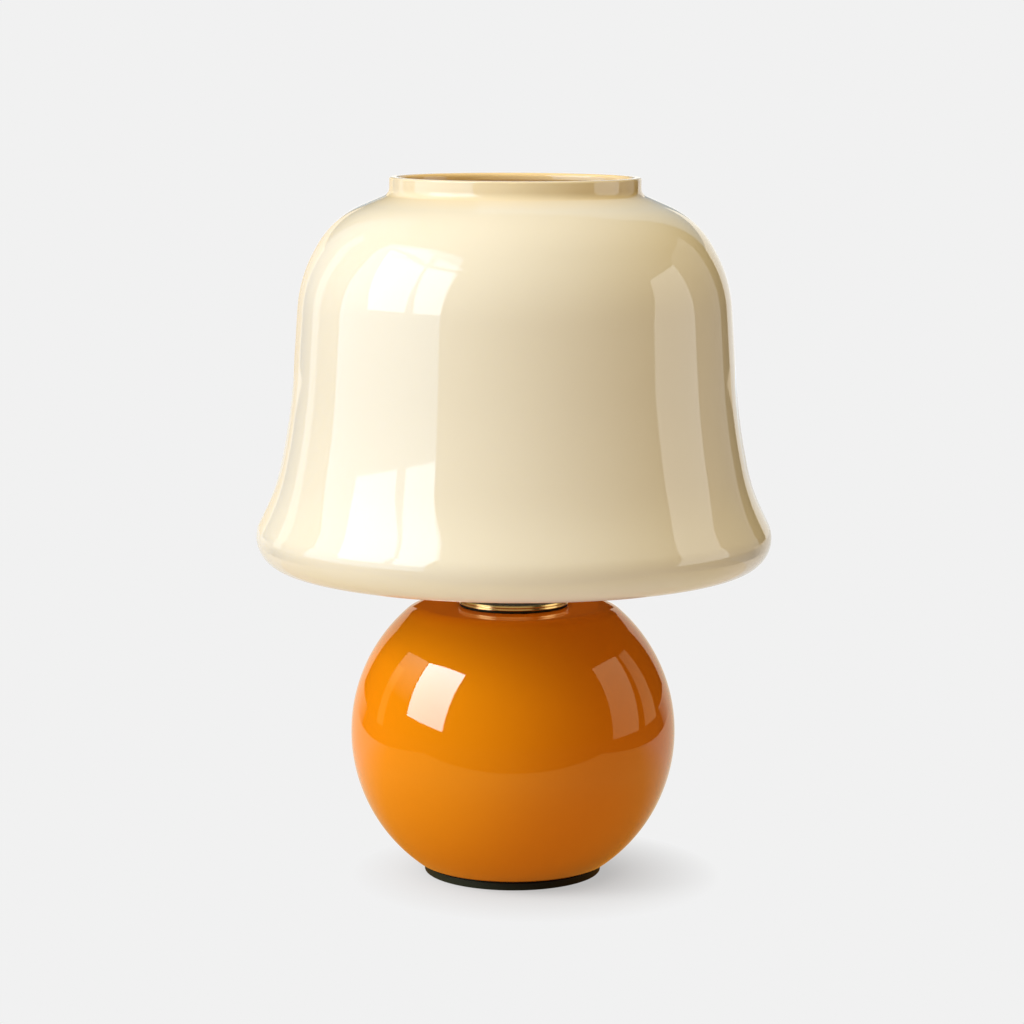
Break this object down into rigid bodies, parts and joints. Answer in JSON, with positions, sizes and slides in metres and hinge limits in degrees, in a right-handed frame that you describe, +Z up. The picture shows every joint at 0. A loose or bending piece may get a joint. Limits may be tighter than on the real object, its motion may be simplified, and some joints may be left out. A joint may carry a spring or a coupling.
{
  "type": "mushroom table lamp",
  "caption": "Rechargeable table lamp: a glass ball base carries a brass stem and light column under a lift-off bell shade of glass with an open neck.",
  "frame": {"origin": "centre of the foot ring on the table", "axes": "+Z up the stem, -Y to the front, +Y to the charging port"},
  "size_m": [0.2208, 0.2208, 0.3],
  "materials": {
    "orange_glass": "gloss, opaque cased glass",
    "cream_glass": "gloss, opaque cased glass",
    "brass": "polished, lacquered",
    "black_rubber": "matt",
    "clear_silicone": "matt",
    "black_plastic": "fine spark-eroded",
    "black_metal": "satin black",
    "zinc_steel": "zinc plated",
    "raw_steel": "turned",
    "aluminium": "turned",
    "circuit_board": "solder mask",
    "white_board": "white solder mask",
    "led_phosphor": "resin",
    "opal": "frosted opal",
    "cell_wrap": "shrink wrap",
    "nickel": "nickel plated",
    "spring_steel": "drawn wire",
    "lead_jacket": "PVC jacket",
    "white_nylon": "moulded nylon"
  },
  "bodies": {
    "lamp": {"foot_ring": "black_rubber", "bottom_cap": "black_plastic", "cap_screws": "zinc_steel", "bottom_washer": "zinc_steel", "bottom_nut": "zinc_steel", "lower_gasket": "black_rubber", "glass_base": "orange_glass", "charge_board": "circuit_board", "usb_c_port": "nickel", "ballast_weight": "raw_steel", "battery_carrier": "black_plastic", "battery_cells": "cell_wrap", "battery_contacts": "nickel", "carrier_screws": "zinc_steel", "battery_lead": "lead_jacket", "led_cable": "lead_jacket", "tie_tube": "zinc_steel", "upper_gasket": "black_rubber", "collar_ring": "brass", "collar_plate": "black_metal", "stem_sleeve": "brass", "stem_bushes": "white_nylon", "head_base": "brass", "led_core": "aluminium", "led_boards": "white_board", "led_chips": "led_phosphor", "top_washer": "zinc_steel", "top_nut": "zinc_steel", "core_screws": "zinc_steel", "head_screws": "zinc_steel", "diffuser": "opal", "head_cap": "brass", "switch_board": "circuit_board", "switch_housing": "black_plastic", "button_spring": "spring_steel", "shade_carrier": "brass", "carrier_pads": "clear_silicone", "carrier_nut": "brass"},
    "shade": {"glass_shade": "cream_glass"},
    "button": {"dimmer_button": "brass", "switch_plunger": "black_plastic"}
  },
  "joints": [
    {"name": "shade_lift", "type": "slide", "parent": "lamp", "child": "shade", "axis": [0, 0, 1], "range_m": [0, 0.18]},
    {"name": "button_press", "type": "slide", "parent": "lamp", "child": "button", "axis": [0, 0, -1], "range_m": [0, 0.001], "stiffness_N_per_m": 300, "springref_m": -0.003, "deforming": ["button_spring"]}
  ]
}
